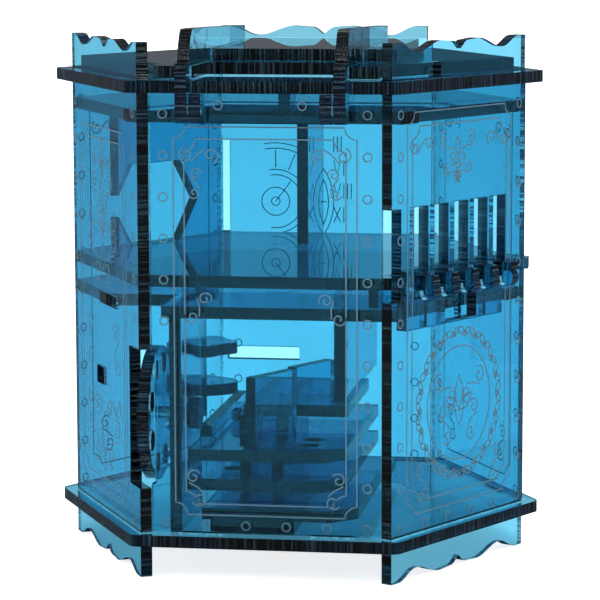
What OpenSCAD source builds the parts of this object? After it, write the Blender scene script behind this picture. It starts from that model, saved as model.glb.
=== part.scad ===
// Hexagonal see-through puzzle box, cut from flat sheet and slotted together.
// +Z is up, the front window faces -Y and the side corners point along +X and -X.
// The origin is on the ground, under the middle of the box.

/* [Sheet] */
// Thickness of every flat sheet piece
sheet = 3; // [2.6:0.1:3.6]
// Gap round a piece where it seats against or passes through another
fit = 0.05; // [0.02:0.01:0.1]
// Gap between pieces that move past each other
run_gap = 0.4; // [0.3:0.05:0.5]

/* [Box] */
// Distance from the middle to a side corner, over the walls
corner_reach = 60.8; // [58:0.2:74]
// Half the width of the front, over the corners
front_half = 31.7; // [31:0.1:32.5]
// Half the depth of the box, front corner to back corner
half_depth = 53.7; // [50:0.1:65]
// Height of the skirt under the base plate
skirt_h = 8.5; // [7:0.5:11]
// Height from the top of the base plate to the underside of the top flange
chamber_h = 110.5; // [108:0.1:132.6]
// Height of the crest above the top flange
crest_h = 9.2; // [8:0.1:10]
// How far the base plate stands out past the walls
base_lip = 3.1; // [2.5:0.1:5]
// How far the top flange stands out past the walls
flange_lip = 3.6; // [2.5:0.1:4]
// Corner rounding of the base plate and the top flange
lip_round = 2.5; // [1:0.1:5]
// Depth of the waves along the crest and the skirt
wave_depth = 2.6; // [1:0.1:3]

/* [Decks] */
// Free height between the two middle shelves
deck_gap = 4.8; // [4:0.1:6]
// Height of the lower shelf above the base plate
lower_shelf_up = 54; // [52:0.5:60]
// Free height between the ceiling plate and the top flange
ceiling_gap = 4.7; // [4:0.1:6]

/* [Lock] */
// Number of sliders in the side lock
slider_count = 5; // [5]
// Distance between neighbouring slider slots
slider_pitch = 8.85; // [8.6:0.05:9]
// Place of the middle of the first slot along the right wall
first_slot = 12.6; // [12:0.1:13]
// Width of a slider slot
slot_w = 6.2; // [4.4:0.1:6.4]
// Travel of a slider
slider_travel = 15; // [10:0.5:16]
// How far a slider knob stands out of the wall
knob_out = 4.6; // [4:0.1:8]

/* [Thumb wheel] */
// Radius of the thumb wheel
wheel_r = 17; // [14:0.5:18]
// Height of its axle above the base plate
wheel_up = 28.7; // [24:0.1:34]
// Radius of the round axles
axle_r = 1.5; // [1.2:0.1:2]

/* [Cams] */
// Outer radius of a cam disc
cam_r = 9.7; // [8:0.1:10]
// Number of lobes on a cam disc
cam_lobes = 5; // [3:1:8]

/* [Trays] */
// Width of a maze tray
tray_w = 39.3; // [38:0.1:41]
// Length of a maze tray, front to back
tray_l = 71; // [60:1:76]
// Rise from one tray to the next
tray_rise = 7.2; // [6:0.1:8]
// Radius of the ball
ball_r = 2; // [1.5:0.1:2.2]

/* [Lid] */
// Gap between the lid and the top flange
lid_gap = 0.3; // [0.3:0.05:0.6]
// Half the distance between the lid arms, inside faces
arm_in = 18; // [17.8:0.1:21.6]
// Height of an arm above the lid's top plate
arm_h = 5.2; // [4:0.1:8]
// Radius of the hinge pin
pin_r = 1.2; // [1:0.1:1.5]

/* [Hidden] */
$fn = 48;

acrylic = [0.10, 0.52, 0.78, 0.55];
steel = [0.75, 0.76, 0.78];

// Plan geometry of the walls
side_len = norm([corner_reach - front_half, half_depth]);
side_angle = atan2(half_depth, corner_reach - front_half);
wall_end = (half_depth - sheet*cos(side_angle) - fit)/sin(side_angle);
infill_y = half_depth - sheet*cos(side_angle);
infill_half = front_half - sheet*sin(side_angle) - fit;
inner_y = infill_y - sheet;

// Levels
base_top = skirt_h + sheet;
flange_low = base_top + chamber_h;
flange_top = flange_low + sheet;
box_top = flange_top + crest_h;
ceiling_top = flange_low - ceiling_gap;
ceiling_low = ceiling_top - sheet;
shelf2_low = base_top + lower_shelf_up;
shelf2_top = shelf2_low + sheet;
shelf1_low = shelf2_top + deck_gap;
shelf1_top = shelf1_low + sheet;

// Tabs of the plain walls, measured from the wall's front end or from the middle
tab_in = 11;
tab_out = 22;
tab_w = tab_out - tab_in;

// Corner of the upper shelf that shows between two walls
corner_tab_half = 2.2;
corner_tab_in = 8;
corner_tab_out = 0.4;

// Upper tabs of the front window, beside the lid arms, measured from the middle
window_tab_in = arm_in + sheet + 1.5;
window_tab_out = infill_half - 1;
window_tab_w = window_tab_out - window_tab_in;

// Lock on the right wall, in distances along the wall
knob_rest = shelf1_low + 1.2;
knob_h = 4;
slot_low = knob_rest - knob_h/2 - 2;
slot_high = knob_rest + knob_h/2 + slider_travel + 2;
plate_w = slider_pitch - 1.2;
plate_low = knob_rest - 12;
plate_high = knob_rest + 3;
lock_deep = sheet + run_gap + sheet + run_gap;
lock_from = first_slot - slider_pitch/2 - 1;
lock_to = first_slot + slider_pitch*(slider_count - 0.5) + 1;
front_notch = 4;
rect_from = 23.2;
rect_to = 37.3;
rect_low = shelf2_low - 2;
rect_high = shelf2_top + 1.8;

// Thumb wheel at the front left corner
wheel_x = -front_half + 0.2;
wheel_y = -half_depth + 12.7;
wheel_z = base_top + wheel_up;
wheel_holes = 8;
wheel_hole_r = 2.6;
wheel_notch = 8.5;
wheel_clear = 0.6;
wheel_collar_r = 4;
divider_x = -24.7;
divider_back = wheel_y + 19;

// Cam discs on their upright axle
cam_x = -24;
cam_y = -10;
cam_upper = base_top + 39.4;
cam_lower = base_top + 28.9;
cam_axle_low = base_top + 22.5;
cam_lobe_deep = 2;
cam_collar_r = 5;

// Trays
tray_left = -20.5;
tray_front = -inner_y + 2.6;
floor_z = base_top + fit;
bottom_z = floor_z + sheet + fit;
middle_z = bottom_z + tray_rise;
top_z = middle_z + tray_rise;
upper_z = top_z + tray_rise;
upper_front = -20;
riser_left_x = -12;
riser_mid_x = -3.6;
front_wall_at = [-3.6, -45];
front_wall_size = [17, 18];
rear_wall_at = [3, -19.5];
rear_wall_h = 9.6;
rear_wall_gap = 1.33;
tray_back = tray_front + tray_l;
hanger_x = 12.2;
rear_wall_size = [(hanger_x - rear_wall_gap - rear_wall_at.x)/cos(side_angle), rear_wall_h];
hanger_front = -16;
rail_front = -30;
tray_hole_r = ball_r + 0.6;
top_tray_holes = [[9, -38], [9, -30]];
middle_tray_holes = [[-11, -34]];
ball_x = (tray_left + sheet + riser_left_x)/2;
ball_y = -8;

// Rim of the top flange round the well
rim = 3*sheet;
well_back = inner_y - 6;
well_front = -28;

// Lid and hinge
lid_low = flange_top + lid_gap;
lid_top = lid_low + sheet + fit;
cap_top = lid_top + sheet;
lid_front = -infill_y + 2.2;
lid_notch = 17;
// The lid's sides run straight back this far, so that they clear the crests as it opens
lid_straight = 9;
lid_side_gap = 0.9;
cap_front = lid_front + 26;
cap_back = cap_front + 62;
cap_right = 28;
pivot_y = -half_depth - 2.4;
pivot_z = flange_low - 4.2;
leg_r = 3.3;
arm_out = arm_in + sheet;
arm_back = cap_back - 13;
arm_front_top = cap_top + arm_h + 0.8;
arm_back_top = cap_top + arm_h - 1.2;
arm_bend = 9;
arm_tabs = [cap_front + 10, cap_front + 30];
arm_tab_l = 8;

function unit(v) = v/norm(v);

// Points of a round at corner b, between corners a and c
function round_at(a, b, c, r, n = 6) =
    let(u = unit(a - b), v = unit(c - b), half = acos(u*v)/2,
        mid = b + unit(u + v)*r/sin(half),
        s = b + u*r/tan(half) - mid, e = b + v*r/tan(half) - mid,
        from = atan2(s.y, s.x), turn = atan2(s.x*e.y - s.y*e.x, s*e))
    [for (i = [0:n]) mid + r*[cos(from + turn*i/n), sin(from + turn*i/n)]];

// A closed outline with every corner rounded
function rounded(pts, r) =
    [for (i = [0:len(pts) - 1])
        each round_at(pts[(i + len(pts) - 1) % len(pts)], pts[i], pts[(i + 1) % len(pts)], r)];

// Half width of the six-sided plan at a given y, with the slanted sides moved out by off
function side_x(y, off) = corner_reach + (off - abs(y)*cos(side_angle))/sin(side_angle);

// Six corners of the plan: slanted sides moved out by off, front and back at end_y
function hexagon(off, end_y) =
    [[side_x(0, off), 0], [side_x(end_y, off), end_y], [-side_x(end_y, off), end_y],
     [-side_x(0, off), 0], [-side_x(end_y, off), -end_y], [side_x(end_y, off), -end_y]];

// How far the wavy edge dips at a place s, from 0 to 1 along it: posts at both ends,
// two round dips, two peaks and a small sharp notch in the middle
function dip(s) =
    let(t = min(s, 1 - s))
    t < 0.05 ? 0
    : t < 0.18 ? (1 - cos(180*(t - 0.05)/0.13))/2
    : t < 0.36 ? (1 + cos(180*(t - 0.18)/0.18))/2
    : t < 0.46 ? 0.15*(t - 0.36)/0.10
    : 0.15 + 0.75*(t - 0.46)/0.04;

// Outline of a wall with a wavy skirt and a wavy crest, from x0 to x1
function crested(x0, x1, n = 64) = concat(
    [for (i = [0:n]) [x0 + (x1 - x0)*i/n, wave_depth*dip(i/n)]],
    [for (i = [n:-1:0]) [x0 + (x1 - x0)*i/n, box_top - wave_depth*dip(i/n)]]);

// Outline of a disc with round lobes
function lobed(r, deep, lobes, n = 120) =
    [for (i = [0:n - 1]) (r - deep*(1 - cos(lobes*360*i/n))/2)*[cos(360*i/n), sin(360*i/n)]];

// An upright sheet: a drawing in x and z, standing with its outer face on y = 0
module upright() {
    translate([0, sheet, 0]) rotate([90, 0, 0]) linear_extrude(sheet) children();
}

// A sheet on edge: a drawing in y and z, from x = 0 to x = sheet
module on_edge(thick = sheet) {
    rotate([90, 0, 90]) linear_extrude(thick) children();
}

// A flat sheet lying at height z
module lying(z) {
    translate([0, 0, z]) linear_extrude(sheet) children();
}

// Places a piece drawn along the right wall: x runs from its front end, y runs inwards
module along_right() {
    translate([front_half, -half_depth, 0]) rotate([0, 0, side_angle]) children();
}

module along_left() {
    mirror([1, 0, 0]) along_right() children();
}

module along_back_right() {
    mirror([0, 1, 0]) along_right() children();
}

module along_back_left() {
    mirror([1, 0, 0]) along_back_right() children();
}

// Opening for a full-length wall that passes through a plate
module wall_opening() {
    translate([-fit, -fit]) square([wall_end + 2*fit, sheet + 2*fit]);
}

// Openings for the two tabs of a plain slanted wall
module tab_openings() {
    for (x = [tab_in, wall_end - tab_out])
        translate([x - fit, -fit]) square([tab_w + 2*fit, sheet + 2*fit]);
}

// Plan placement, matching the along_ modules
module plan_right() {
    translate([front_half, -half_depth]) rotate(side_angle) children();
}

module plan_left() {
    mirror([1, 0]) plan_right() children();
}

module plan_back_right() {
    mirror([0, 1]) plan_right() children();
}

module plan_back_left() {
    mirror([1, 0]) plan_back_right() children();
}

// Every opening that the two flanged plates share
module shared_openings() {
    plan_right() wall_opening();
    plan_left() wall_opening();
    plan_back_right() tab_openings();
    plan_back_left() tab_openings();
    translate([-infill_half - fit, inner_y - fit]) square([2*(infill_half + fit), sheet + 2*fit]);
}

module front_tab_openings(x0, x1) {
    for (s = [-1, 1])
        translate([s*(x0 + x1)/2 - (x1 - x0)/2 - fit, -infill_y - fit])
            square([x1 - x0 + 2*fit, sheet + 2*fit]);
}

// Base plate with a rounded lip, standing out past the walls
module base_plate() {
    color(acrylic) lying(skirt_h) difference() {
        polygon(rounded(hexagon(base_lip, half_depth + base_lip), lip_round));
        shared_openings();
        front_tab_openings(tab_in, tab_out);
    }
}

// The well inside the top flange
module well_outline() {
    mid = side_x(0, -rim);
    back = side_x(well_back, -rim);
    front = side_x(well_front, -rim);
    polygon([[mid, 0], [back, well_back], [-back, well_back],
             [-mid, 0], [-front, well_front], [front, well_front]]);
}

// Top flange: a ring round the well under the lid, with two notches that the lid arms swing in
module top_flange() {
    color(acrylic) lying(flange_low) difference() {
        polygon(rounded(hexagon(flange_lip, half_depth + flange_lip), lip_round));
        well_outline();
        shared_openings();
        front_tab_openings(window_tab_in, window_tab_out);
        for (s = [-1, 1])
            translate([s*(arm_in + sheet/2) - sheet/2 - run_gap, -half_depth - 2*flange_lip])
                square([sheet + 2*run_gap, 2*flange_lip + half_depth - infill_y - fit]);
    }
}

// Outline of a deck that fills the box from wall to wall
module deck_outline() {
    polygon(hexagon(-sheet - fit, inner_y - fit));
}

// Tab of a deck through a slanted wall
module deck_tab(from, to) {
    translate([from, 0]) square([to - from, sheet + 2*fit + 0.5]);
}

ceiling_tab = [3.6, 11.3];
shelf2_tab = [20.1, 35.1];

module ceiling_plate() {
    color(acrylic) lying(ceiling_low) union() {
        deck_outline();
        plan_right() deck_tab(ceiling_tab[0], ceiling_tab[1]);
        plan_left() deck_tab(ceiling_tab[0], ceiling_tab[1]);
    }
}

// Room in the shelves for the slider plates of the lock
module lock_room() {
    plan_right() translate([lock_from, 0]) square([lock_to - lock_from, lock_deep]);
}

// Upper shelf; its right corner shows through the joint between two walls
module upper_shelf() {
    color(acrylic) lying(shelf1_low) difference() {
        union() {
            deck_outline();
            translate([corner_reach - corner_tab_in, -corner_tab_half])
                square([corner_tab_in + corner_tab_out, 2*corner_tab_half]);
        }
        lock_room();
    }
}

// Lower shelf, cut away at the front left to clear the thumb wheel
module lower_shelf() {
    color(acrylic) lying(shelf2_low) difference() {
        union() {
            deck_outline();
            plan_left() deck_tab(shelf2_tab[0], shelf2_tab[1]);
        }
        lock_room();
        translate([-corner_reach, -half_depth])
            square([corner_reach + divider_x - 2, half_depth + divider_back - 6]);
        translate([cam_x, cam_y]) circle(axle_r + fit);
    }
}

// Slot in a wall for a deck's tab
module tab_slot(span, low) {
    translate([span[0] - fit, low - fit]) square([span[1] - span[0] + 2*fit, sheet + 2*fit]);
}

// Notch where the upper shelf's corner passes between two walls
module corner_notch() {
    translate([wall_end - 5, shelf1_low - fit]) square([6, sheet + 2*fit]);
}

// Small slots in the walls, as [place along the wall, height above the ground, width, height]
left_small_slot = [32, 44, 6.5, 4.6];
right_crest_slot = [17.4, 125.3, 3.5, 3.7];

module small_slot(where) {
    translate([where[0], where[1]]) square([where[2], where[3]]);
}

// Left wall, with a finger notch at its front end for the thumb wheel
module left_wall() {
    color(acrylic) along_left() upright() difference() {
        polygon(crested(0, wall_end));
        translate([-1, wheel_z - wheel_r - wheel_clear])
            square([wheel_notch + 1, 2*(wheel_r + wheel_clear)]);
        tab_slot(ceiling_tab, ceiling_low);
        tab_slot(shelf2_tab, shelf2_low);
        small_slot(left_small_slot);
    }
}

// Right wall, with five slider slots and a window onto the lower shelf
module right_wall() {
    color(acrylic) along_right() upright() difference() {
        polygon(crested(0, wall_end));
        for (i = [0:slider_count - 1])
            translate([first_slot + slider_pitch*i - slot_w/2, slot_low])
                square([slot_w, slot_high - slot_low]);
        translate([rect_from, rect_low]) square([rect_to - rect_from, rect_high - rect_low]);
        tab_slot(ceiling_tab, ceiling_low);
        translate([-1, slot_low]) square([front_notch + 1, slot_high - slot_low]);
        small_slot(right_crest_slot);
        corner_notch();
    }
}

// A plain slanted wall, standing between the two flanged plates on tabs
module plain_wall() {
    upright() union() {
        translate([0, base_top + fit]) square([wall_end, chamber_h - 2*fit]);
        for (x = [tab_in, wall_end - tab_out])
            translate([x, skirt_h]) square([tab_w, chamber_h + 2*sheet]);
    }
}

module back_left_wall() {
    color(acrylic) along_back_left() plain_wall();
}

module back_right_wall() {
    color(acrylic) along_back_right() difference() {
        plain_wall();
        translate([wall_end - 5, -1, shelf1_low - fit]) cube([6, sheet + 2, sheet + 2*fit]);
    }
}

back_slot_w = 2.4;
back_slot_h = 26;
back_window = [-infill_half + 1.5, -6.9];
back_window_low = base_top + 28.3;
back_window_h = 3.7;

// Back wall, with a crest, a skirt, an open slot at its left end and a low slot
module back_wall() {
    color(acrylic) translate([0, inner_y, 0]) upright() difference() {
        polygon(crested(-infill_half, infill_half));
        translate([-infill_half - 1, shelf1_top]) square([back_slot_w + 1, back_slot_h]);
        translate([back_window[0], back_window_low])
            square([back_window[1] - back_window[0], back_window_h]);
    }
}

// Front window; its top is cut low between the lid arms
module front_window() {
    top_cut = ceiling_top - 0.8;
    finger_room = wheel_r - 0.5;
    color(acrylic) translate([0, -infill_y, 0]) upright() difference() {
        union() {
            translate([-infill_half, base_top + fit]) square([2*infill_half, chamber_h - 2*fit]);
            for (s = [-1, 1]) {
                translate([s*(tab_in + tab_out)/2 - tab_w/2, skirt_h]) square([tab_w, sheet + 1]);
                translate([s*(window_tab_in + window_tab_out)/2 - window_tab_w/2, flange_low - 1])
                    square([window_tab_w, sheet + 1]);
            }
        }
        translate([-arm_in, top_cut]) square([2*arm_in, chamber_h]);
        translate([-infill_half - 1, wheel_z - finger_room])
            square([infill_half + 1 + wheel_x + sheet + 0.5, 2*finger_room]);
    }
}

window_off = 6.5;
window_start = 9;
window_end = wall_end - 9.7;
window_mid = [35.5, 87.5];
window_reach = 16.2;

// Inner plate with a six-sided opening, standing inside the back left wall
module window_plate() {
    half_top = window_reach*0.52;
    half_h = 11;
    color(acrylic) along_back_left() translate([0, window_off, 0]) upright() difference() {
        translate([window_start, shelf1_top + fit])
            square([window_end - window_start, ceiling_low - shelf1_top - 2*fit]);
        translate([window_mid[0], window_mid[1]])
            polygon([[window_reach, 0], [half_top, half_h], [-half_top, half_h],
                     [-window_reach, 0], [-half_top, -half_h], [half_top, -half_h]]);
    }
}

upper_divider_x = -2.9;
upper_divider_front = 20;

// Divider in the upper chamber, against the back wall
module upper_divider() {
    color(acrylic) translate([upper_divider_x, 0, 0]) on_edge()
        translate([upper_divider_front, shelf1_top + fit])
            square([inner_y - upper_divider_front - fit, ceiling_low - shelf1_top - 2*fit]);
}

// Divider in the lower chamber, which carries the thumb wheel's axle
module left_divider() {
    color(acrylic) difference() {
        translate([divider_x, 0, 0]) on_edge()
            translate([-inner_y + fit, base_top + fit])
                square([divider_back + inner_y - fit, shelf2_low - base_top - 2*fit]);
        translate([divider_x - 1, wheel_y, wheel_z]) rotate([0, 90, 0])
            cylinder(h = sheet + 2, r = axle_r + fit);
    }
}

// Divider from the upper tray to the lower shelf
module right_divider() {
    color(acrylic) translate([hanger_x, 0, 0]) on_edge()
        translate([hanger_front, upper_z + sheet + fit])
            square([inner_y - fit - hanger_front, shelf2_low - upper_z - sheet - 2*fit]);
}

// Strip between the shelves that keeps the slider plates against the wall
module lock_rail() {
    color(acrylic) along_right() translate([0, lock_deep + fit, 0]) upright()
        translate([lock_from - 3, shelf2_top + fit]) square([lock_to - lock_from + 4, deck_gap - 2*fit]);
}

// Plate of one slider, inside the wall
module slider_plate(i) {
    mid = first_slot + slider_pitch*(i - 1);
    color(acrylic) along_right() translate([0, sheet + run_gap, 0]) upright() difference() {
        translate([mid - plate_w/2, plate_low]) square([plate_w, plate_high - plate_low]);
        translate([mid - sheet/2 - fit, knob_rest - knob_h/2 - fit])
            square([sheet + 2*fit, knob_h + 2*fit]);
    }
}

// Knob of one slider, on edge through its slot, with a round finger lobe
module slider_knob(i) {
    mid = first_slot + slider_pitch*(i - 1);
    lobe_r = 2.3;
    color(acrylic) along_right() translate([mid - sheet/2, 0, 0]) on_edge() union() {
        translate([-run_gap - 1, knob_rest - knob_h/2]) square([2*sheet + 2*run_gap + 1, knob_h]);
        translate([-knob_out, knob_rest - 0.2]) square([knob_out, 2.2]);
        translate([-run_gap - lobe_r, knob_rest - knob_h/2]) circle(lobe_r);
    }
}

// Thumb wheel, pushed round by a fingertip at the front left corner
module thumb_wheel() {
    color(acrylic) translate([wheel_x, wheel_y, wheel_z]) on_edge() difference() {
        circle(wheel_r, $fn = 96);
        circle(axle_r);
        for (i = [1:wheel_holes])
            rotate(360*(i - 0.45)/wheel_holes) translate([wheel_r*0.76, 0]) circle(wheel_hole_r);
    }
}

module wheel_axle() {
    color(steel) translate([wheel_x, wheel_y, wheel_z]) rotate([0, 90, 0])
        cylinder(h = divider_x - wheel_x + 2*sheet + run_gap, r = axle_r);
}

module wheel_collar() {
    color(acrylic) translate([divider_x + sheet + run_gap, wheel_y, wheel_z]) on_edge() difference() {
        circle(wheel_collar_r);
        circle(axle_r);
    }
}

module cam_disc(z, lobes) {
    color(acrylic) translate([cam_x, cam_y, 0]) lying(z) difference() {
        polygon(lobed(cam_r, cam_lobe_deep, lobes));
        circle(axle_r);
    }
}

module upper_cam_disc() {
    cam_disc(cam_upper, cam_lobes);
}

module lower_cam_disc() {
    cam_disc(cam_lower, cam_lobes - 2);
}

module cam_axle() {
    color(steel) translate([cam_x, cam_y, cam_axle_low])
        cylinder(h = shelf2_top + run_gap + sheet - cam_axle_low, r = axle_r);
}

// Collar that rests on the lower shelf and holds the cam axle up
module cam_collar() {
    color(acrylic) translate([cam_x, cam_y, 0]) lying(shelf2_top + run_gap) difference() {
        circle(cam_collar_r);
        circle(axle_r);
    }
}

// Slot across a tray for a riser, from a front place to the tray's back edge
module riser_slot(x, front) {
    translate([x - fit, front - fit]) square([sheet + 2*fit, tray_back - front + 1]);
}

// Outline of a maze tray with its front right corner cut off, slotted for the risers
module tray_outline(left, right, front, cut = 6) {
    difference() {
        polygon([[left, front], [right - cut, front], [right, front + cut],
                 [right, tray_back], [left, tray_back]]);
        riser_slot(riser_left_x, upper_front);
        riser_slot(riser_mid_x, upper_front);
    }
}

// Smallest and highest tray, with a slanted left edge
module upper_tray() {
    color(acrylic) lying(upper_z)
        polygon([[riser_left_x + 1, upper_front], [hanger_x + sheet + 1, upper_front],
                 [hanger_x + sheet + 1, tray_back], [riser_left_x - 5, tray_back]]);
}

module top_tray() {
    color(acrylic) lying(top_z) difference() {
        tray_outline(tray_left, tray_left + tray_w, tray_front);
        for (at = top_tray_holes) translate(at) circle(tray_hole_r);
    }
}

module middle_tray() {
    color(acrylic) lying(middle_z) difference() {
        tray_outline(tray_left - 0.2, tray_left + tray_w, -inner_y + 1.2);
        for (at = middle_tray_holes) translate(at) circle(tray_hole_r);
    }
}

module bottom_tray() {
    color(acrylic) lying(bottom_z) tray_outline(tray_left + 3.8, tray_left + tray_w + 3.4, -inner_y + fit);
}

module floor_tray() {
    color(acrylic) lying(floor_z) tray_outline(tray_left + 6, tray_left + tray_w - 12, -inner_y + fit, 0.01);
}

// Uprights that carry the trays, from the base plate to the upper tray
module tray_riser(x) {
    color(acrylic) translate([x, 0, 0]) on_edge()
        translate([upper_front, base_top + fit])
            square([tray_back - upper_front, upper_z - base_top - 2*fit]);
}

module left_tray_riser() {
    tray_riser(riser_left_x);
}

module middle_tray_riser() {
    tray_riser(riser_mid_x);
}

// Walls that stand on the trays, side by side with the right wall, and part the ball's ways
module maze_wall(at, size, low) {
    color(acrylic) translate([at[0], at[1], low]) rotate([0, 0, side_angle]) upright() square(size);
}

module front_maze_wall() {
    maze_wall(front_wall_at, front_wall_size, top_z + sheet + fit);
}

module rear_maze_wall() {
    maze_wall(rear_wall_at, rear_wall_size, upper_z + sheet + fit);
}

// Low rail that keeps the ball on the top tray
module tray_rail() {
    color(acrylic) translate([tray_left, 0, 0]) on_edge()
        translate([rail_front, top_z + sheet + fit]) square([tray_back - rail_front, sheet]);
}

module ball() {
    color(steel) translate([ball_x, ball_y, top_z + sheet + ball_r + 0.1]) sphere(ball_r);
}

// Slots for the arms' tabs, cut through the lid plate and its top plate
module arm_tab_openings() {
    for (s = [-1, 1])
        for (y = arm_tabs)
            translate([s*(arm_in + sheet/2) - sheet/2 - fit, y - fit])
                square([sheet + 2*fit, arm_tab_l + 2*fit]);
}

// Lid plate, lying on the top flange between the crests
module lid_plate() {
    front_w = infill_half - lid_side_gap;
    straight_y = lid_front + lid_straight;
    corner = side_x(0, -sheet) - 2*lid_side_gap;
    back_y = inner_y - lid_side_gap;
    back_w = side_x(back_y, -sheet - lid_side_gap);
    color(acrylic) lying(lid_low) difference() {
        polygon([[corner, 0], [back_w, back_y], [-back_w, back_y],
                 [-corner, 0], [-front_w, straight_y], [-front_w, lid_front],
                 [front_w, lid_front], [front_w, straight_y]]);
        translate([-arm_in, lid_front - 1]) square([2*arm_in, lid_notch + 1]);
        arm_tab_openings();
    }
}

// Second plate on the lid, which ties the two arms together
module lid_top_plate() {
    color(acrylic) lying(lid_top) difference() {
        translate([-arm_out - 0.5, cap_front]) square([arm_out + 0.5 + cap_right, cap_back - cap_front]);
        arm_tab_openings();
    }
}

// Gooseneck arm: it stands on the lid, bends down over the flange's edge and ends at the hinge
module lid_arm() {
    bend = [pivot_y + leg_r + arm_bend - 1, arm_front_top - arm_bend];
    difference() {
        on_edge() union() {
            // Beam along the lid
            polygon([[cap_front - 0.2, lid_top], [cap_front - 0.2, cap_top + fit],
                     [arm_back, cap_top + fit], [arm_back, arm_back_top], [bend.x, arm_front_top], [bend.x, lid_top]]);
            // Round bend over the front
            intersection() {
                translate(bend) circle(arm_bend + 2);
                translate([pivot_y - leg_r, lid_top])
                    square([bend.x - pivot_y + leg_r, arm_front_top - lid_top]);
            }
            // Leg down to the hinge
            translate([pivot_y - leg_r, pivot_z]) square([2*leg_r, lid_top + 1 - pivot_z]);
            translate([pivot_y, pivot_z]) circle(leg_r);
            // Tabs through the two lid plates
            for (y = arm_tabs)
                translate([y, lid_low]) square([arm_tab_l, cap_top - lid_low + 1]);
        }
        translate([-1, pivot_y, pivot_z]) rotate([0, 90, 0]) cylinder(h = sheet + 2, r = pin_r);
    }
}

module left_lid_arm() {
    color(acrylic) translate([-arm_out, 0, 0]) lid_arm();
}

module right_lid_arm() {
    color(acrylic) translate([arm_in, 0, 0]) lid_arm();
}

// Two short pins, pressed into the arms and turning in the ears
module lid_hinge_pins() {
    color(steel) for (s = [-1, 1])
        translate([s*(arm_in + sheet/2 - run_gap/2 - sheet/2), pivot_y, pivot_z])
            rotate([0, 90, 0]) cylinder(h = 2*sheet + run_gap, r = pin_r, center = true);
}

// Ear under the flange, beside an arm, with the bore for its pin
module hinge_ear() {
    difference() {
        on_edge() union() {
            translate([pivot_y, pivot_z]) circle(leg_r);
            translate([pivot_y, pivot_z - leg_r])
                square([-infill_y - fit - pivot_y, flange_low - fit - pivot_z + leg_r]);
            translate([pivot_y - leg_r, pivot_z]) square([leg_r, flange_low - fit - pivot_z]);
        }
        translate([-1, pivot_y, pivot_z]) rotate([0, 90, 0]) cylinder(h = sheet + 2, r = pin_r + fit);
    }
}

module left_hinge_ear() {
    color(acrylic) translate([-arm_in + run_gap, 0, 0]) hinge_ear();
}

module right_hinge_ear() {
    color(acrylic) translate([arm_in - run_gap - sheet, 0, 0]) hinge_ear();
}

crossbar_half = arm_in - run_gap - sheet - fit;
crossbar_low = pivot_z - leg_r;

// Strip between the two ears, over the cut top of the front window
module hinge_crossbar() {
    color(acrylic) translate([0, -infill_y - sheet - fit, 0]) upright()
        translate([-crossbar_half, crossbar_low])
            square([2*crossbar_half, flange_low - fit - crossbar_low]);
}

rib_x = 3.6;
rib_l = 9;

// Small rib that stiffens the crossbar behind
module crossbar_rib() {
    color(acrylic) translate([rib_x, 0, 0]) on_edge()
        translate([-infill_y, ceiling_top + fit]) square([rib_l, flange_low - ceiling_top - 2*fit]);
}

base_plate();
top_flange();
ceiling_plate();
upper_shelf();
lower_shelf();
left_wall();
right_wall();
back_left_wall();
back_right_wall();
back_wall();
front_window();
window_plate();
upper_divider();
left_divider();
right_divider();
lock_rail();
slider_plate(1);  // slider_plate_1
slider_plate(2);  // slider_plate_2
slider_plate(3);  // slider_plate_3
slider_plate(4);  // slider_plate_4
slider_plate(5);  // slider_plate_5
slider_knob(1);  // slider_knob_1
slider_knob(2);  // slider_knob_2
slider_knob(3);  // slider_knob_3
slider_knob(4);  // slider_knob_4
slider_knob(5);  // slider_knob_5
thumb_wheel();
wheel_axle();
wheel_collar();
upper_cam_disc();
lower_cam_disc();
cam_axle();
cam_collar();
upper_tray();
top_tray();
middle_tray();
bottom_tray();
floor_tray();
left_tray_riser();
middle_tray_riser();
front_maze_wall();
rear_maze_wall();
tray_rail();
ball();
lid_plate();
lid_top_plate();
left_lid_arm();
right_lid_arm();
lid_hinge_pins();
left_hinge_ear();
right_hinge_ear();
hinge_crossbar();
crossbar_rib();
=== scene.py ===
import math

import bmesh
import bpy
from mathutils import Matrix, Vector


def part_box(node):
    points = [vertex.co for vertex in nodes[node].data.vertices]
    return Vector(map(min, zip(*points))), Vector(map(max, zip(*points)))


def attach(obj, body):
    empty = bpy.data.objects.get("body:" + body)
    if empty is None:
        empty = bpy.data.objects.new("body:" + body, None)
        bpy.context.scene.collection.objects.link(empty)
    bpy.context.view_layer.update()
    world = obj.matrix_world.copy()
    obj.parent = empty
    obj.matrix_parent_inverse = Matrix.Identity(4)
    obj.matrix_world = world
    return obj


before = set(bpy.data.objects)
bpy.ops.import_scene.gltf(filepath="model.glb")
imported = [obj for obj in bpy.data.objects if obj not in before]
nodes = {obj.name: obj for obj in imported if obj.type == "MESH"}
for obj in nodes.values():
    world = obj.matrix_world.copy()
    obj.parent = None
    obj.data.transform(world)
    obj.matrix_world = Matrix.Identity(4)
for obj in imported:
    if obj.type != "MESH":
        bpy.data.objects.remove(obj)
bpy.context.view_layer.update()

# ---------------------------------------------------------------------------
# Base plate, top flange and decks
# Flat plates of clear blue acrylic, cut by laser from 3 mm sheet. Their faces are
# polished and their cut edges carry fine stripes that run through the thickness.
# ---------------------------------------------------------------------------
UP = (0.0, 0.0, 1.0)
# In 3 mm of sheet the dye takes out about 80 % of the red, 44 % of the green and 30 % of the blue
dye_colour = (0.05, 0.650, 0.785, 1.0)
dye_density = 560.0
acrylic_ior = 1.49
face_tint = (0.97, 0.985, 1.0, 1.0)
face_tint_dusty = (0.90, 0.93, 0.96, 1.0)
edge_dark = (0.02, 0.05, 0.08, 1.0)
edge_pale = (0.85, 0.88, 0.92, 1.0)
edge_roughness = 0.08
edge_ridge_depth = 0.0005
stripes_per_metre = 1500.0
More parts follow.
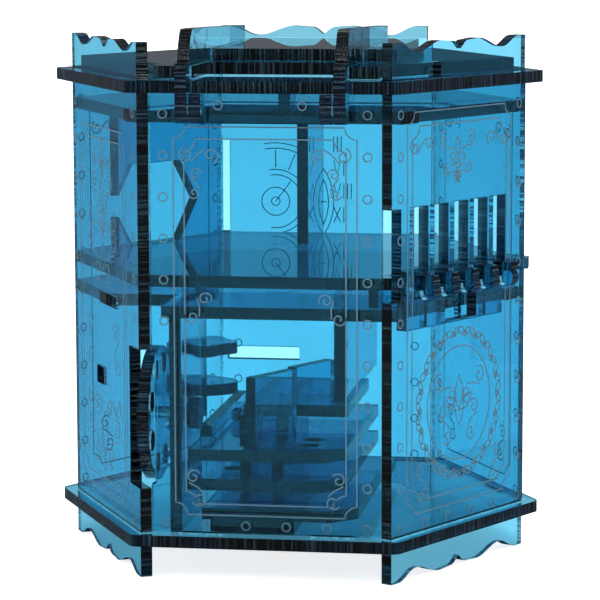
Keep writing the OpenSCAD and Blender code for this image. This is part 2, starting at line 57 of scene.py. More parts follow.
# A face that leans more than 60 degrees from the faces of its sheet is a cut edge
edge_cosine = 0.5
# Painted glow: a faint pale blue emission in the stripes of the cut edges stands in for light that is
# carried along inside a sheet and leaves it there
painted_edge_glow = (0.40, 0.75, 1.0, 1.0)
no_glow = (0.0, 0.0, 0.0, 1.0)
painted_glow_level = 0.045


def cut_edge_group():
    """Mask of the cut edges of a sheet, and stripes that run through its thickness."""
    g = bpy.data.node_groups.new("cut_edge", "ShaderNodeTree")
    g.interface.new_socket("Sheet Axis", in_out="INPUT", socket_type="NodeSocketVector")
    g.interface.new_socket("Stripes per Metre", in_out="INPUT", socket_type="NodeSocketFloat")
    g.interface.new_socket("Edge", in_out="OUTPUT", socket_type="NodeSocketFloat")
    g.interface.new_socket("Stripe", in_out="OUTPUT", socket_type="NodeSocketFloat")
    gi = g.nodes.new("NodeGroupInput")
    go = g.nodes.new("NodeGroupOutput")
    link = g.links.new
    geo = g.nodes.new("ShaderNodeNewGeometry")
    turn = g.nodes.new("ShaderNodeVectorTransform")
    turn.vector_type = "NORMAL"
    turn.convert_from = "WORLD"
    turn.convert_to = "OBJECT"
    link(geo.outputs["True Normal"], turn.inputs[0])
    dot = g.nodes.new("ShaderNodeVectorMath")
    dot.operation = "DOT_PRODUCT"
    link(turn.outputs[0], dot.inputs[0])
    link(gi.outputs["Sheet Axis"], dot.inputs[1])
    size = g.nodes.new("ShaderNodeMath")
    size.operation = "ABSOLUTE"
    link(dot.outputs["Value"], size.inputs[0])
    edge = g.nodes.new("ShaderNodeMath")
    edge.operation = "LESS_THAN"
    edge.inputs[1].default_value = edge_cosine
    link(size.outputs[0], edge.inputs[0])
    link(edge.outputs[0], go.inputs["Edge"])
    place = g.nodes.new("ShaderNodeTexCoord")
    along = g.nodes.new("ShaderNodeVectorMath")
    along.operation = "DOT_PRODUCT"
    link(place.outputs["Object"], along.inputs[0])
    link(gi.outputs["Sheet Axis"], along.inputs[1])
    through = g.nodes.new("ShaderNodeVectorMath")
    through.operation = "SCALE"
    link(gi.outputs["Sheet Axis"], through.inputs[0])
    link(along.outputs["Value"], through.inputs["Scale"])
    flat = g.nodes.new("ShaderNodeVectorMath")
    flat.operation = "SUBTRACT"
    link(place.outputs["Object"], flat.inputs[0])
    link(through.outputs[0], flat.inputs[1])
    noise = g.nodes.new("ShaderNodeTexNoise")
    noise.inputs["Detail"].default_value = 3.0
    noise.inputs["Roughness"].default_value = 0.7
    link(flat.outputs[0], noise.inputs["Vector"])
    link(gi.outputs["Stripes per Metre"], noise.inputs["Scale"])
    sharp = g.nodes.new("ShaderNodeMapRange")
    sharp.inputs["From Min"].default_value = 0.50
    sharp.inputs["From Max"].default_value = 0.66
    link(noise.outputs["Fac"], sharp.inputs["Value"])
    link(sharp.outputs["Result"], go.inputs["Stripe"])
    return g


cut_edge = cut_edge_group()


def acrylic(name, axis):
    """Clear blue acrylic sheet that lies square to axis."""
    m = bpy.data.materials.new(name)
    m.use_nodes = True
    t = m.node_tree
    t.nodes.clear()
    link = t.links.new
    out = t.nodes.new("ShaderNodeOutputMaterial")
    glass = t.nodes.new("ShaderNodeBsdfPrincipled")
    glass.inputs["IOR"].default_value = acrylic_ior
    glass.inputs["Transmission Weight"].default_value = 1.0
    dye = t.nodes.new("ShaderNodeVolumeAbsorption")
    dye.inputs["Color"].default_value = dye_colour
    dye.inputs["Density"].default_value = dye_density
    link(glass.outputs["BSDF"], out.inputs["Surface"])
    link(dye.outputs["Volume"], out.inputs["Volume"])
    cut = t.nodes.new("ShaderNodeGroup")
    cut.node_tree = cut_edge
    cut.inputs["Sheet Axis"].default_value = axis
    cut.inputs["Stripes per Metre"].default_value = stripes_per_metre
    place = t.nodes.new("ShaderNodeTexCoord")
    dust = t.nodes.new("ShaderNodeTexNoise")
    dust.inputs["Scale"].default_value = 60.0
    dust.inputs["Detail"].default_value = 5.0
    link(place.outputs["Object"], dust.inputs["Vector"])
    dusty = t.nodes.new("ShaderNodeMapRange")
    dusty.inputs["From Min"].default_value = 0.55
    dusty.inputs["From Max"].default_value = 0.80
    link(dust.outputs["Fac"], dusty.inputs["Value"])
    face = t.nodes.new("ShaderNodeMix")
    face.data_type = "RGBA"
    face.inputs["A"].default_value = face_tint
    face.inputs["B"].default_value = face_tint_dusty
    link(dusty.outputs["Result"], face.inputs["Factor"])
    stripes = t.nodes.new("ShaderNodeMix")
    stripes.data_type = "RGBA"
    stripes.inputs["A"].default_value = edge_dark
    stripes.inputs["B"].default_value = edge_pale
    link(cut.outputs["Stripe"], stripes.inputs["Factor"])
    colour = t.nodes.new("ShaderNodeMix")
    colour.data_type = "RGBA"
    link(cut.outputs["Edge"], colour.inputs["Factor"])
    link(face.outputs["Result"], colour.inputs["A"])
    link(stripes.outputs["Result"], colour.inputs["B"])
    link(colour.outputs["Result"], glass.inputs["Base Color"])
    rough = t.nodes.new("ShaderNodeMapRange")
    rough.inputs["To Min"].default_value = 0.0
    rough.inputs["To Max"].default_value = edge_roughness
    link(cut.outputs["Edge"], rough.inputs["Value"])
    link(rough.outputs["Result"], glass.inputs["Roughness"])
    # The stripes of the cut edges: real ridges for the bump, and also the mask of the painted glow
    ridge_and_painted_glow = t.nodes.new("ShaderNodeMath")
    ridge_and_painted_glow.operation = "MULTIPLY"
    link(cut.outputs["Edge"], ridge_and_painted_glow.inputs[0])
    link(cut.outputs["Stripe"], ridge_and_painted_glow.inputs[1])
    # Painted glow: the striped cut edges emit a faint pale blue light, though they are no lamp
    painted_glow_mix = t.nodes.new("ShaderNodeMix")
    painted_glow_mix.data_type = "RGBA"
    painted_glow_mix.inputs["A"].default_value = no_glow
    painted_glow_mix.inputs["B"].default_value = painted_edge_glow
    link(ridge_and_painted_glow.outputs[0], painted_glow_mix.inputs["Factor"])
    link(painted_glow_mix.outputs["Result"], glass.inputs["Emission Color"])
    glass.inputs["Emission Strength"].default_value = painted_glow_level
    bump = t.nodes.new("ShaderNodeBump")
    bump.inputs["Strength"].default_value = 1.0
    bump.inputs["Distance"].default_value = edge_ridge_depth
    link(ridge_and_painted_glow.outputs[0], bump.inputs["Height"])
    link(bump.outputs["Normal"], glass.inputs["Normal"])
    return m


def finish_nodes(material, *names):
    """Gives CAD nodes a material, in place of their plain one."""
    for name in names:
        mesh = nodes[name].data
        mesh.materials.clear()
        mesh.materials.append(material)
        for p in mesh.polygons:
            p.material_index = 0
            p.use_smooth = False


lying_acrylic = acrylic("lying_acrylic", UP)
finish_nodes(lying_acrylic, "base_plate", "top_flange", "ceiling_plate", "upper_shelf", "lower_shelf")

# ---------------------------------------------------------------------------
# Walls
# Six upright sheets. The left, right and back walls pass through both plates and end
# in a wavy crest and a wavy skirt; the other three stand on tabs between the plates.
# ---------------------------------------------------------------------------
# Outline at the outer faces of the walls, in mm
front_half = 31.7
half_depth = 53.7
corner_reach = 60.8
lean = math.atan2(half_depth, corner_reach - front_half)
side_normal = (math.sin(lean), -math.cos(lean), 0.0)
wall_acrylic = {
    "right_wall": acrylic("right_wall_acrylic", side_normal),
    "left_wall": acrylic("left_wall_acrylic", (-side_normal[0], side_normal[1], 0.0)),
    "back_right_wall": acrylic("back_right_acrylic", (side_normal[0], -side_normal[1], 0.0)),
    "back_left_wall": acrylic("back_left_acrylic", (-side_normal[0], -side_normal[1], 0.0)),
    "back_wall": acrylic("back_wall_acrylic", (0.0, 1.0, 0.0)),
    "front_window": acrylic("front_window_acrylic", (0.0, 1.0, 0.0)),
}
for name, material in wall_acrylic.items():
    finish_nodes(material, name)

# ---------------------------------------------------------------------------
# Engraved lines
# Shallow frosted lines that the laser burns into the outer faces of the walls: double
# borders, rings that look like rivets, scrolls and a wreath. They are thin raised strips.
# ---------------------------------------------------------------------------
MM = 0.001
line_w = 0.34
strip_low = 0.02
strip_high = 0.09
frost_dark = (0.035, 0.10, 0.15, 1.0)
frost_pale = (0.09, 0.20, 0.27, 1.0)


def frost_material():
    m = bpy.data.materials.new("engraved_frost")
    m.use_nodes = True
    t = m.node_tree
    link = t.links.new
    bsdf = t.nodes["Principled BSDF"]
    place = t.nodes.new("ShaderNodeTexCoord")
    grain = t.nodes.new("ShaderNodeTexNoise")
    grain.inputs["Scale"].default_value = 2500.0
    grain.inputs["Detail"].default_value = 4.0
    link(place.outputs["Object"], grain.inputs["Vector"])
    mix = t.nodes.new("ShaderNodeMix")
    mix.data_type = "RGBA"
    mix.inputs["A"].default_value = frost_dark
    mix.inputs["B"].default_value = frost_pale
    link(grain.outputs["Fac"], mix.inputs["Factor"])
    link(mix.outputs["Result"], bsdf.inputs["Base Color"])
    bump = t.nodes.new("ShaderNodeBump")
    bump.inputs["Strength"].default_value = 0.4
    bump.inputs["Distance"].default_value = 0.00005
    link(grain.outputs["Fac"], bump.inputs["Height"])
    link(bump.outputs["Normal"], bsdf.inputs["Normal"])
    bsdf.inputs["Roughness"].default_value = 0.75
    return m


frost = frost_material()


def on_side(x_sign, y_sign):
    """Place on a slanted wall: u from its front or back corner, z up, out from its outer face."""
    def place(u, z, out):
        x = front_half + u * math.cos(lean) + out * math.sin(lean)
        y = -half_depth + u * math.sin(lean) - out * math.cos(lean)
        return Vector((x_sign * x, y_sign * y, z)) * MM
    return place


def on_flat(y, outward):
    """Place on a sheet that faces along Y: u is x, z up, out from the face at y."""
    def place(u, z, out):
        return Vector((u, y + outward * out, z)) * MM
    return place


def on_edge(x, outward):
    """Place on a sheet that faces along X: u is y, z up, out from the face at x."""
    def place(u, z, out):
        return Vector((x + outward * out, u, z)) * MM
    return place


def oval(cu, cz, ru, rz, n=60):
    angles = [2 * math.pi * i / n for i in range(n)]
    return [(cu + ru * math.cos(a), cz + rz * math.sin(a)) for a in angles]


def ring(cu, cz, r, n=18):
    return oval(cu, cz, r, r, n)


def spiral(cu, cz, r_from, r_to, start, turns, n=26):
    """A curl round a centre; start is in degrees, and negative turns run clockwise."""
    points = []
    for i in range(n + 1):
        a = math.radians(start) + 2 * math.pi * turns * i / n
        r = r_from + (r_to - r_from) * i / n
        points.append((cu + r * math.cos(a), cz + r * math.sin(a)))
    return points


def leaf(cu, cz, angle, length, width, n=8):
    """A closed leaf that starts at a point and runs out at an angle in degrees."""
    a = math.radians(angle)
    sides = []
    for sign in (1, -1):
        side = []
        for i in range(n + 1):
            along = length * i / n
            across = sign * width * math.sin(math.pi * i / n)
            side.append((cu + along * math.cos(a) - across * math.sin(a),
                         cz + along * math.sin(a) + across * math.cos(a)))
        sides.append(side)
    return sides[0] + sides[1][-2:0:-1]


def border(u0, z0, u1, z1, r=3.0, n=6):
    """A rectangle whose corners are scooped out to a radius."""
    points = []
    for cu, cz, start in ((u0, z0, 90), (u1, z0, 180), (u1, z1, 270), (u0, z1, 360)):
        for i in range(n + 1):
            a = math.radians(start - 90.0 * i / n)
            points.append((cu + r * math.cos(a), cz + r * math.sin(a)))
    return points


def scroll(cu, cz, size, flip=1, turn=0.0):
    """An S of two curls with a leaf at its waist; flip mirrors it, turn is in degrees."""
    raw = [spiral(0.42 * size, 0.30 * size, 0.06 * size, 0.34 * size, 20, 1.25),
           spiral(-0.42 * size, -0.30 * size, 0.06 * size, 0.34 * size, 200, 1.25),
           [(-0.42 * size, 0.04 * size), (0.0, 0.06 * size), (0.42 * size, -0.04 * size)]]
    a = math.radians(turn)
    lines = []
    for line in raw:
        lines.append([(cu + flip * (x * math.cos(a) - z * math.sin(a)),
                       cz + x * math.sin(a) + z * math.cos(a)) for x, z in line])
    return lines


def strip(bm, line, place, closed, width=line_w):
    """Adds one thin closed strip of even width along a line."""
    n = len(line)
    rings = []
    for i in range(n):
        if closed:
            before, after = line[i - 1], line[(i + 1) % n]
        else:
            before, after = line[max(i - 1, 0)], line[min(i + 1, n - 1)]
        du, dz = after[0] - before[0], after[1] - before[1]
        size = math.hypot(du, dz) or 1.0
        nu, nz = -dz / size * width / 2, du / size * width / 2
        u, z = line[i]
        rings.append([bm.verts.new(place(u + s * nu, z + s * nz, h))
                      for s, h in ((-1, strip_low), (1, strip_low), (1, strip_high), (-1, strip_high))])
    for i in range(n if closed else n - 1):
        a, b = rings[i], rings[(i + 1) % n]
        for k in range(4):
            bm.faces.new((a[k], a[(k + 1) % 4], b[(k + 1) % 4], b[k]))
    if not closed:
        bm.faces.new(rings[0][::-1])
        bm.faces.new(rings[-1])


def engrave(name, body, place, closed_lines, open_lines, width=line_w):
    """One object that holds all the engraved lines of a face."""
    bm = bmesh.new()
    for line in closed_lines:
        strip(bm, line, place, True, width)
    for line in open_lines:
        strip(bm, line, place, False, width)
    bmesh.ops.recalc_face_normals(bm, faces=bm.faces)
    mesh = bpy.data.meshes.new(name)
    bm.to_mesh(mesh)
    bm.free()
    mesh.materials.append(frost)
    piece = bpy.data.objects.new(name, mesh)
    bpy.context.collection.objects.link(piece)
    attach(piece, body)


rivet_r = 1.05
rivet_pitch = 10.3
rivet_inset = 3.6
berry_r = 0.75
berry_sides = 10
wall_low = 13.6
wall_high = 120.0
rivet_rows = int((wall_high - wall_low) / rivet_pitch) + 1


def rivet_column(u):
    return [ring(u, wall_low + rivet_pitch * i, rivet_r) for i in range(rivet_rows)]


def wreath(cu, cz, ru, rz, count):
    """Leaves and berries round an oval."""
    closed = []
    for i in range(count):
        a = 360.0 * i / count
        u = cu + ru * math.cos(math.radians(a))
        z = cz + rz * math.sin(math.radians(a))
        closed.append(leaf(u, z, a + 70, 3.4, 0.9))
        closed.append(leaf(u, z, a - 60, 2.8, 0.8))
        closed.append(ring(u, z, berry_r, berry_sides))
    return closed


# ---------------------------------------------------------------------------
# Engraving of the right wall
# A double border, two columns of rivets, a small crown of scrolls over the sliders and
# a wreath with a curled knot below them.
# ---------------------------------------------------------------------------
# How far the engraving of a slanted wall is laid out, from the wall's front or back corner
wall_len = 59.4
wall_middle = wall_len / 2
outer_inset, outer_low = 6.5, 16.3
inner_inset, inner_low = 8.7, 19.4
wreath_u, wreath_z = 29.6, 42.0
crown_u = 28.5
right_face = on_side(1, 1)
closed = rivet_column(rivet_inset) + rivet_column(wall_len - 2.6)
closed += [ring(rivet_inset + rivet_pitch * i, wall_low, rivet_r) for i in range(1, 5)]
closed += [border(outer_inset, outer_low, wall_len - outer_inset, 117.0),
           border(inner_inset, inner_low, wall_len - inner_inset, 113.4)]
closed += wreath(wreath_u, wreath_z, 17.5, 17.8, 22)
closed += [oval(wreath_u, wreath_z, 14.2, 14.6), leaf(wreath_u, 36.0, 90, 13.0, 2.2)]
closed += [leaf(wreath_u, 40.0, angle, 7.0, 1.4) for angle in (35, 145)]
open_lines = []
for flip in (1, -1):
    open_lines += scroll(wreath_u + flip * 6.2, 46.0, 7.0, flip)
    open_lines += scroll(wreath_u + flip * 6.0, 37.0, 6.4, flip, 40)
    open_lines += scroll(crown_u + flip * 4.2, 107.0, 6.0, flip, 15)
    open_lines += scroll(crown_u + flip * 3.0, 100.8, 4.4, flip, -10)
    open_lines += scroll(wall_middle + flip * 17.0, 108.5, 6.0, flip, -40)
    open_lines += scroll(wall_middle + flip * 16.5, 24.0, 6.0, flip, 40)
closed += [leaf(crown_u, 105.4, 90, 4.6, 1.1), leaf(crown_u, 98.6, 90, 3.0, 0.8)]
closed += [ring(crown_u, 102.6, 0.8, berry_sides)]
engrave("right_wall_engraving", "box", right_face, closed, open_lines)

# ---------------------------------------------------------------------------
# Engraving of the left wall
# The same border and rivets, with a tall candelabrum of scrolls in the middle.
# ---------------------------------------------------------------------------
# The thumb wheel takes the place of the rivets between these heights
wheel_low, wheel_high = 20.0, 60.0
stem_u = 31.6
left_face = on_side(-1, 1)
closed = rivet_column(wall_len - 2.6)
closed += [r for r in rivet_column(rivet_inset) if not wheel_low < r[0][1] < wheel_high]
closed += [border(10.5, outer_low, wall_len - outer_inset, 111.0),
           border(12.7, inner_low, wall_len - inner_inset, 108.0)]
open_lines = []
for flip in (1, -1):
    for i in range(4):
        open_lines += scroll(stem_u + flip * (7.0 - i), 78.0 + 8.0 * i, 9.0 - i, flip, 20 * (-1) ** i)
    open_lines += scroll(stem_u + flip * 9.0, 30.0, 9.0, flip, 20)
    open_lines += scroll(stem_u + flip * 9.0, 39.0, 7.5, flip, -30)
    open_lines += scroll(stem_u + flip * 12.0, 55.0, 8.0, flip, 60)
closed += [leaf(stem_u, 74.0 + 9.0 * i, 90, 7.5, 1.5) for i in range(4)]
closed += [leaf(stem_u, 25.0, 90, 12.0, 2.4), ring(stem_u, 23.0, 1.4)]
engrave("left_wall_engraving", "box", left_face, closed, open_lines)

# ---------------------------------------------------------------------------
# Engraving of the front window
# A double border with notched corners, rivets down both sides and along the foot, and a
# scroll in each corner.
# ---------------------------------------------------------------------------
front_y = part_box("front_window")[0][1] / MM
front_face = on_flat(front_y, -1)
border_in = 20.2
border_out = 22.9
rivet_x = 25.5
closed = []
for i in range(rivet_rows):
    z = wall_low + rivet_pitch * i
    closed.append(ring(rivet_x, z, rivet_r))
    if not wheel_low < z < wheel_high:
        closed.append(ring(-rivet_x, z, rivet_r))
closed += [ring(x, wall_low, rivet_r) for x in (-15.4, -5.1, 5.1, 15.4)]
closed += [border(-border_out, 16.2, border_out, 113.5), border(-border_in, 19.0, border_in, 110.5)]
open_lines = []
for flip in (1, -1):
    open_lines += scroll(flip * 16.5, 106.5, 6.0, flip, -35)
    open_lines += scroll(flip * 17.4, 99.5, 4.6, flip, 60)
    open_lines += scroll(flip * 16.8, 68.5, 5.4, flip, 90)
    open_lines += scroll(flip * 17.6, 23.0, 5.6, flip, 40)
engrave("front_window_engraving", "box", front_face, closed, open_lines)

# ---------------------------------------------------------------------------
# Engraving of the back wall
# Half a dial with spokes and a column of Roman numerals, which show through the front,
# and rivets down both sides.
# ---------------------------------------------------------------------------
back_face = on_flat(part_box("back_wall")[0][1] / MM, -1)
closed = [ring(side * 24.5, wall_low + rivet_pitch * i, rivet_r) for side in (1, -1) for i in range(6)]
dial_u, dial_z = -13.5, 85.0
dial_rings = (7.5, 9.0, 15.0, 16.5)
spoke_from, spoke_to = 9.6, 14.4
open_lines = [spiral(dial_u, dial_z, r, r, -100, 0.56, 30) for r in dial_rings]
closed += [ring(dial_u, dial_z, 4.0), ring(dial_u, dial_z, 1.2)]
for i in range(9):
    a = math.radians(-90 + 22.5 * i)
    c, s = math.cos(a), math.sin(a)
    open_lines.append([(dial_u + r * c, dial_z + r * s) for r in (spoke_from, spoke_to)])
open_lines.append([(dial_u, dial_z), (dial_u + 4.2, dial_z + 5.6)])
numerals = ("III", "VI", "VIII", "XI")
letter_h = 4.4
letter_w = 1.9
row_step = 6.6
dial_line_w = 0.26
for row, word in enumerate(numerals):
    u = 3.0
    z = 99.0 - row_step * row
    for letter in word:
        if letter == "I":
            open_lines.append([(u, z), (u, z + letter_h)])
            u += 0.55 * letter_w
        elif letter == "V":
            open_lines.append([(u, z + letter_h), (u + 0.5 * letter_w, z), (u + letter_w, z + letter_h)])
            u += 1.5 * letter_w
        else:
            open_lines.append([(u, z), (u + letter_w, z + letter_h)])
            open_lines.append([(u, z + letter_h), (u + letter_w, z)])
            u += 1.5 * letter_w
engrave("back_wall_engraving", "box", back_face, closed, open_lines, dial_line_w)

# ---------------------------------------------------------------------------
# Engraving of the two plain back walls
# A single border and rivets along their long sides.
# ---------------------------------------------------------------------------
plain_middle = 29.2
for name, x_sign in (("back_left_wall_engraving", -1), ("back_right_wall_engraving", 1)):
    face = on_side(x_sign, -1)
    closed = rivet_column(rivet_inset) + rivet_column(wall_len - 4.0)
    closed += [border(outer_inset, outer_low, wall_len - 7.5, 117.0)]
    open_lines = []
    for flip in (1, -1):
        open_lines += scroll(plain_middle + flip * 17.0, 108.5, 6.0, flip, -40)
        open_lines += scroll(plain_middle + flip * 17.0, 24.5, 6.0, flip, 40)
    engrave(name, "box", face, closed, open_lines)

# ---------------------------------------------------------------------------
# Inner uprights
# The plate with a six-sided opening behind the back left wall, and the dividers of the
# two chambers. They stand in slots between the decks.
# ---------------------------------------------------------------------------
edge_on_acrylic = acrylic("edge_on_acrylic", (1.0, 0.0, 0.0))
finish_nodes(wall_acrylic["back_left_wall"], "window_plate")
finish_nodes(edge_on_acrylic, "upper_divider", "left_divider", "right_divider", "crossbar_rib")
finish_nodes(wall_acrylic["right_wall"], "lock_rail")

# ---------------------------------------------------------------------------
# Slider lock
# Five small plates behind the right wall, each with a knob that stands on edge in it and
# reaches out through its slot.
# ---------------------------------------------------------------------------
knob_acrylic = acrylic("knob_acrylic", (math.cos(lean), math.sin(lean), 0.0))
for i in range(1, 6):
    finish_nodes(wall_acrylic["right_wall"], "slider_plate_%d" % i)
    finish_nodes(knob_acrylic, "slider_knob_%d" % i)

# ---------------------------------------------------------------------------
# Axles, pins and ball
# Plain steel rod and a steel ball, drawn and polished, with faint turned marks.
# ---------------------------------------------------------------------------
steel_dark = (0.42, 0.43, 0.45, 1.0)
steel_pale = (0.72, 0.73, 0.75, 1.0)


def steel(name):
    m = bpy.data.materials.new(name)
    m.use_nodes = True
    t = m.node_tree
    link = t.links.new
    bsdf = t.nodes["Principled BSDF"]
    bsdf.inputs["Metallic"].default_value = 1.0
    place = t.nodes.new("ShaderNodeTexCoord")
    marks = t.nodes.new("ShaderNodeTexNoise")
    marks.inputs["Scale"].default_value = 900.0
    marks.inputs["Detail"].default_value = 4.0
    link(place.outputs["Object"], marks.inputs["Vector"])
    mix = t.nodes.new("ShaderNodeMix")
    mix.data_type = "RGBA"
    mix.inputs["A"].default_value = steel_dark
    mix.inputs["B"].default_value = steel_pale
    link(marks.outputs["Fac"], mix.inputs["Factor"])
    link(mix.outputs["Result"], bsdf.inputs["Base Color"])
    rough = t.nodes.new("ShaderNodeMapRange")
    rough.inputs["To Min"].default_value = 0.12
    rough.inputs["To Max"].default_value = 0.30
    link(marks.outputs["Fac"], rough.inputs["Value"])
    link(rough.outputs["Result"], bsdf.inputs["Roughness"])
    bump = t.nodes.new("ShaderNodeBump")
    bump.inputs["Strength"].default_value = 0.15
    bump.inputs["Distance"].default_value = 0.00004
    link(marks.outputs["Fac"], bump.inputs["Height"])
    link(bump.outputs["Normal"], bsdf.inputs["Normal"])
    return m


polished_steel = steel("polished_steel")
finish_nodes(polished_steel, "wheel_axle", "cam_axle", "lid_hinge_pins", "ball")

# ---------------------------------------------------------------------------
# Thumb wheel and cam discs
# The wheel stands on edge at the front left corner, and the lobed discs lie flat on
# their upright axle behind the front window.
# ---------------------------------------------------------------------------
finish_nodes(edge_on_acrylic, "thumb_wheel", "wheel_collar")
finish_nodes(lying_acrylic, "upper_cam_disc", "lower_cam_disc", "cam_collar")

# ---------------------------------------------------------------------------
# Trays
# Stepped plates that the ball rolls on, slotted over two uprights, with a low rail beside
# the ball and two slanted walls that stand on the plates.
# ---------------------------------------------------------------------------
finish_nodes(lying_acrylic, "upper_tray", "top_tray", "middle_tray", "bottom_tray", "floor_tray")
finish_nodes(edge_on_acrylic, "left_tray_riser", "middle_tray_riser", "tray_rail")
finish_nodes(wall_acrylic["right_wall"], "front_maze_wall", "rear_maze_wall")

# ---------------------------------------------------------------------------
# Lid and hinge
# Two stacked plates that hang from a pair of gooseneck arms. The arms turn on pins in
# two ears under the flange, and a crossbar joins the ears.
# ---------------------------------------------------------------------------
finish_nodes(lying_acrylic, "lid_plate", "lid_top_plate")
finish_nodes(edge_on_acrylic, "left_lid_arm", "right_lid_arm", "left_hinge_ear", "right_hinge_ear")
finish_nodes(wall_acrylic["front_window"], "hinge_crossbar")

arm_ring_r = 1.0
for name, x, outward in (("left_arm_engraving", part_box("left_lid_arm")[0][0] / MM, -1),
                         ("right_arm_engraving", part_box("right_lid_arm")[1][0] / MM, 1)):
    face = on_edge(x, outward)
    lines = scroll(-30.0, 133.6, 4.0, 1, 10) + scroll(-44.0, 133.4, 4.0, -1, 10)
    engrave(name, "lid", face, [ring(-50.5, 132.0, arm_ring_r)], lines)

bar_face = on_flat(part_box("hinge_crossbar")[0][1] / MM, -1)
engrave("crossbar_engraving", "box", bar_face, [ring(x, 119.0, rivet_r) for x in (-11.0, 9.8)], [])

# ---------------------------------------------------------------------------
# Floor, light and camera
# A white studio with a pale floor. Sheets mirror a dark room, so that their faces show
# the dye and not a white veil; light that comes through a sheet stays white.
# ---------------------------------------------------------------------------
def mirrored_rays(tree):
    """1 for a ray that left its last surface as a mirror reflection, and 0 for any other."""
    path = tree.nodes.new("ShaderNodeLightPath")
    only = tree.nodes.new("ShaderNodeMath")
    only.operation = "SUBTRACT"
    only.use_clamp = True
    tree.links.new(path.outputs["Is Glossy Ray"], only.inputs[0])
    tree.links.new(path.outputs["Is Transmission Ray"], only.inputs[1])
    return path, only.outputs[0]


floor_half = 3.0
# The floor lies a hair under the feet, so that the two share no face
floor_drop = 0.0002
floor_pale = (0.93, 0.93, 0.93, 1.0)
floor_paler = (0.96, 0.96, 0.96, 1.0)
floor_mirror_grey = (0.10, 0.11, 0.12, 1.0)
studio_white = (1.0, 1.0, 1.0, 1.0)
floor_mesh = bpy.data.meshes.new("floor")
bm = bmesh.new()
bmesh.ops.create_grid(bm, x_segments=8, y_segments=8, size=floor_half)
bm.to_mesh(floor_mesh)
bm.free()
floor = bpy.data.objects.new("floor", floor_mesh)
floor.location.z = -floor_drop
bpy.context.collection.objects.link(floor)
pale = bpy.data.materials.new("pale_floor")
pale.use_nodes = True
pale_tree = pale.node_tree
pale_bsdf = pale_tree.nodes["Principled BSDF"]
pale_bsdf.inputs["Roughness"].default_value = 0.9
cloud = pale_tree.nodes.new("ShaderNodeTexNoise")
cloud.inputs["Scale"].default_value = 3.0
shade = pale_tree.nodes.new("ShaderNodeMix")
shade.data_type = "RGBA"
shade.inputs["A"].default_value = floor_pale
shade.inputs["B"].default_value = floor_paler
pale_tree.links.new(cloud.outputs["Fac"], shade.inputs["Factor"])
pale_tree.links.new(shade.outputs["Result"], pale_bsdf.inputs["Base Color"])
pale_bsdf.inputs["Emission Color"].default_value = studio_white
pale_bsdf.inputs["Emission Strength"].default_value = 0.8
floor_mirrored = mirrored_rays(pale_tree)[1]
floor_dim = pale_tree.nodes.new("ShaderNodeBsdfDiffuse")
floor_dim.inputs["Color"].default_value = floor_mirror_grey
floor_mix = pale_tree.nodes.new("ShaderNodeMixShader")
pale_tree.links.new(floor_mirrored, floor_mix.inputs["Fac"])
pale_tree.links.new(pale_bsdf.outputs["BSDF"], floor_mix.inputs[1])
pale_tree.links.new(floor_dim.outputs["BSDF"], floor_mix.inputs[2])
pale_tree.links.new(floor_mix.outputs["Shader"], pale_tree.nodes["Material Output"].inputs["Surface"])
floor_mesh.materials.append(pale)

world = bpy.data.worlds.new("studio")
bpy.context.scene.world = world
world.use_nodes = True
# A studio that is white behind and above the object and dim on the near side
sky_tree = world.node_tree
sky = sky_tree.nodes["Background"]
sky.inputs["Color"].default_value = studio_white
white_level = 1.15
dim_level = 0.30
mirror_level = 0.12
direction = sky_tree.nodes.new("ShaderNodeTexCoord")
parts = sky_tree.nodes.new("ShaderNodeSeparateXYZ")
sky_tree.links.new(direction.outputs["Generated"], parts.inputs[0])
rise = sky_tree.nodes.new("ShaderNodeMath")
rise.operation = "MULTIPLY_ADD"
rise.inputs[1].default_value = 0.6
sky_tree.links.new(parts.outputs["Z"], rise.inputs[0])
sky_tree.links.new(parts.outputs["Y"], rise.inputs[2])
level = sky_tree.nodes.new("ShaderNodeMapRange")
level.inputs["From Min"].default_value = -0.35
level.inputs["From Max"].default_value = 0.15
level.inputs["To Min"].default_value = dim_level
level.inputs["To Max"].default_value = white_level
sky_tree.links.new(rise.outputs[0], level.inputs["Value"])
path, sky_mirrored = mirrored_rays(sky_tree)
seen = sky_tree.nodes.new("ShaderNodeMix")
seen.inputs["B"].default_value = white_level
sky_tree.links.new(path.outputs["Is Camera Ray"], seen.inputs["Factor"])
sky_tree.links.new(level.outputs["Result"], seen.inputs["A"])
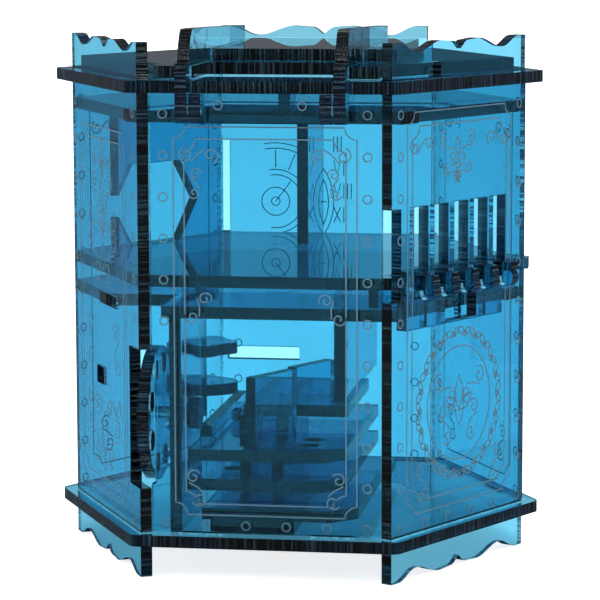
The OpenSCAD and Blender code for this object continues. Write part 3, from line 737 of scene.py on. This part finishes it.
mirrored = sky_tree.nodes.new("ShaderNodeMix")
mirrored.inputs["B"].default_value = mirror_level
sky_tree.links.new(sky_mirrored, mirrored.inputs["Factor"])
sky_tree.links.new(seen.outputs["Result"], mirrored.inputs["A"])
sky_tree.links.new(mirrored.outputs["Result"], sky.inputs["Strength"])


def softbox(name, place, target, size, watts):
    light = bpy.data.lights.new(name, "AREA")
    light.shape = "RECTANGLE"
    light.size, light.size_y = size
    light.energy = watts
    lamp = bpy.data.objects.new(name, light)
    lamp.location = place
    lamp.rotation_euler = (Vector(target) - Vector(place)).to_track_quat("-Z", "Y").to_euler()
    bpy.context.collection.objects.link(lamp)


box_middle = (0.0, 0.0, 0.07)
softbox("key_light", (-0.7, -0.9, 0.9), box_middle, (0.6, 0.6), 6.0)
softbox("top_light", (0.3, 0.2, 1.2), box_middle, (0.8, 0.8), 6.0)

camera_place = Vector((0.1142, -0.7404, 0.1661))
camera_azimuth = math.radians(8.714)
camera_height = math.radians(7.784)
camera_roll = math.radians(-0.144)
camera_focal_mm = 170.93
back = Vector((math.sin(camera_azimuth) * math.cos(camera_height),
               -math.cos(camera_azimuth) * math.cos(camera_height),
               math.sin(camera_height)))
side = Vector((math.cos(camera_azimuth), math.sin(camera_azimuth), 0.0))
top = back.cross(side)
side_rolled = side * math.cos(camera_roll) + top * math.sin(camera_roll)
top_rolled = top * math.cos(camera_roll) - side * math.sin(camera_roll)
lens = bpy.data.cameras.new("camera")
lens.lens = camera_focal_mm
lens.sensor_width = 36.0
lens.clip_start = 0.01
camera = bpy.data.objects.new("camera", lens)
turned = Matrix((side_rolled, top_rolled, back)).transposed()
camera.matrix_world = Matrix.Translation(camera_place) @ turned.to_4x4()
bpy.context.collection.objects.link(camera)

scene = bpy.context.scene
scene.camera = camera
scene.view_settings.view_transform = "Standard"
scene.cycles.max_bounces = 40
scene.cycles.transmission_bounces = 40
scene.cycles.glossy_bounces = 24
scene.cycles.volume_bounces = 4
scene.cycles.transparent_max_bounces = 16
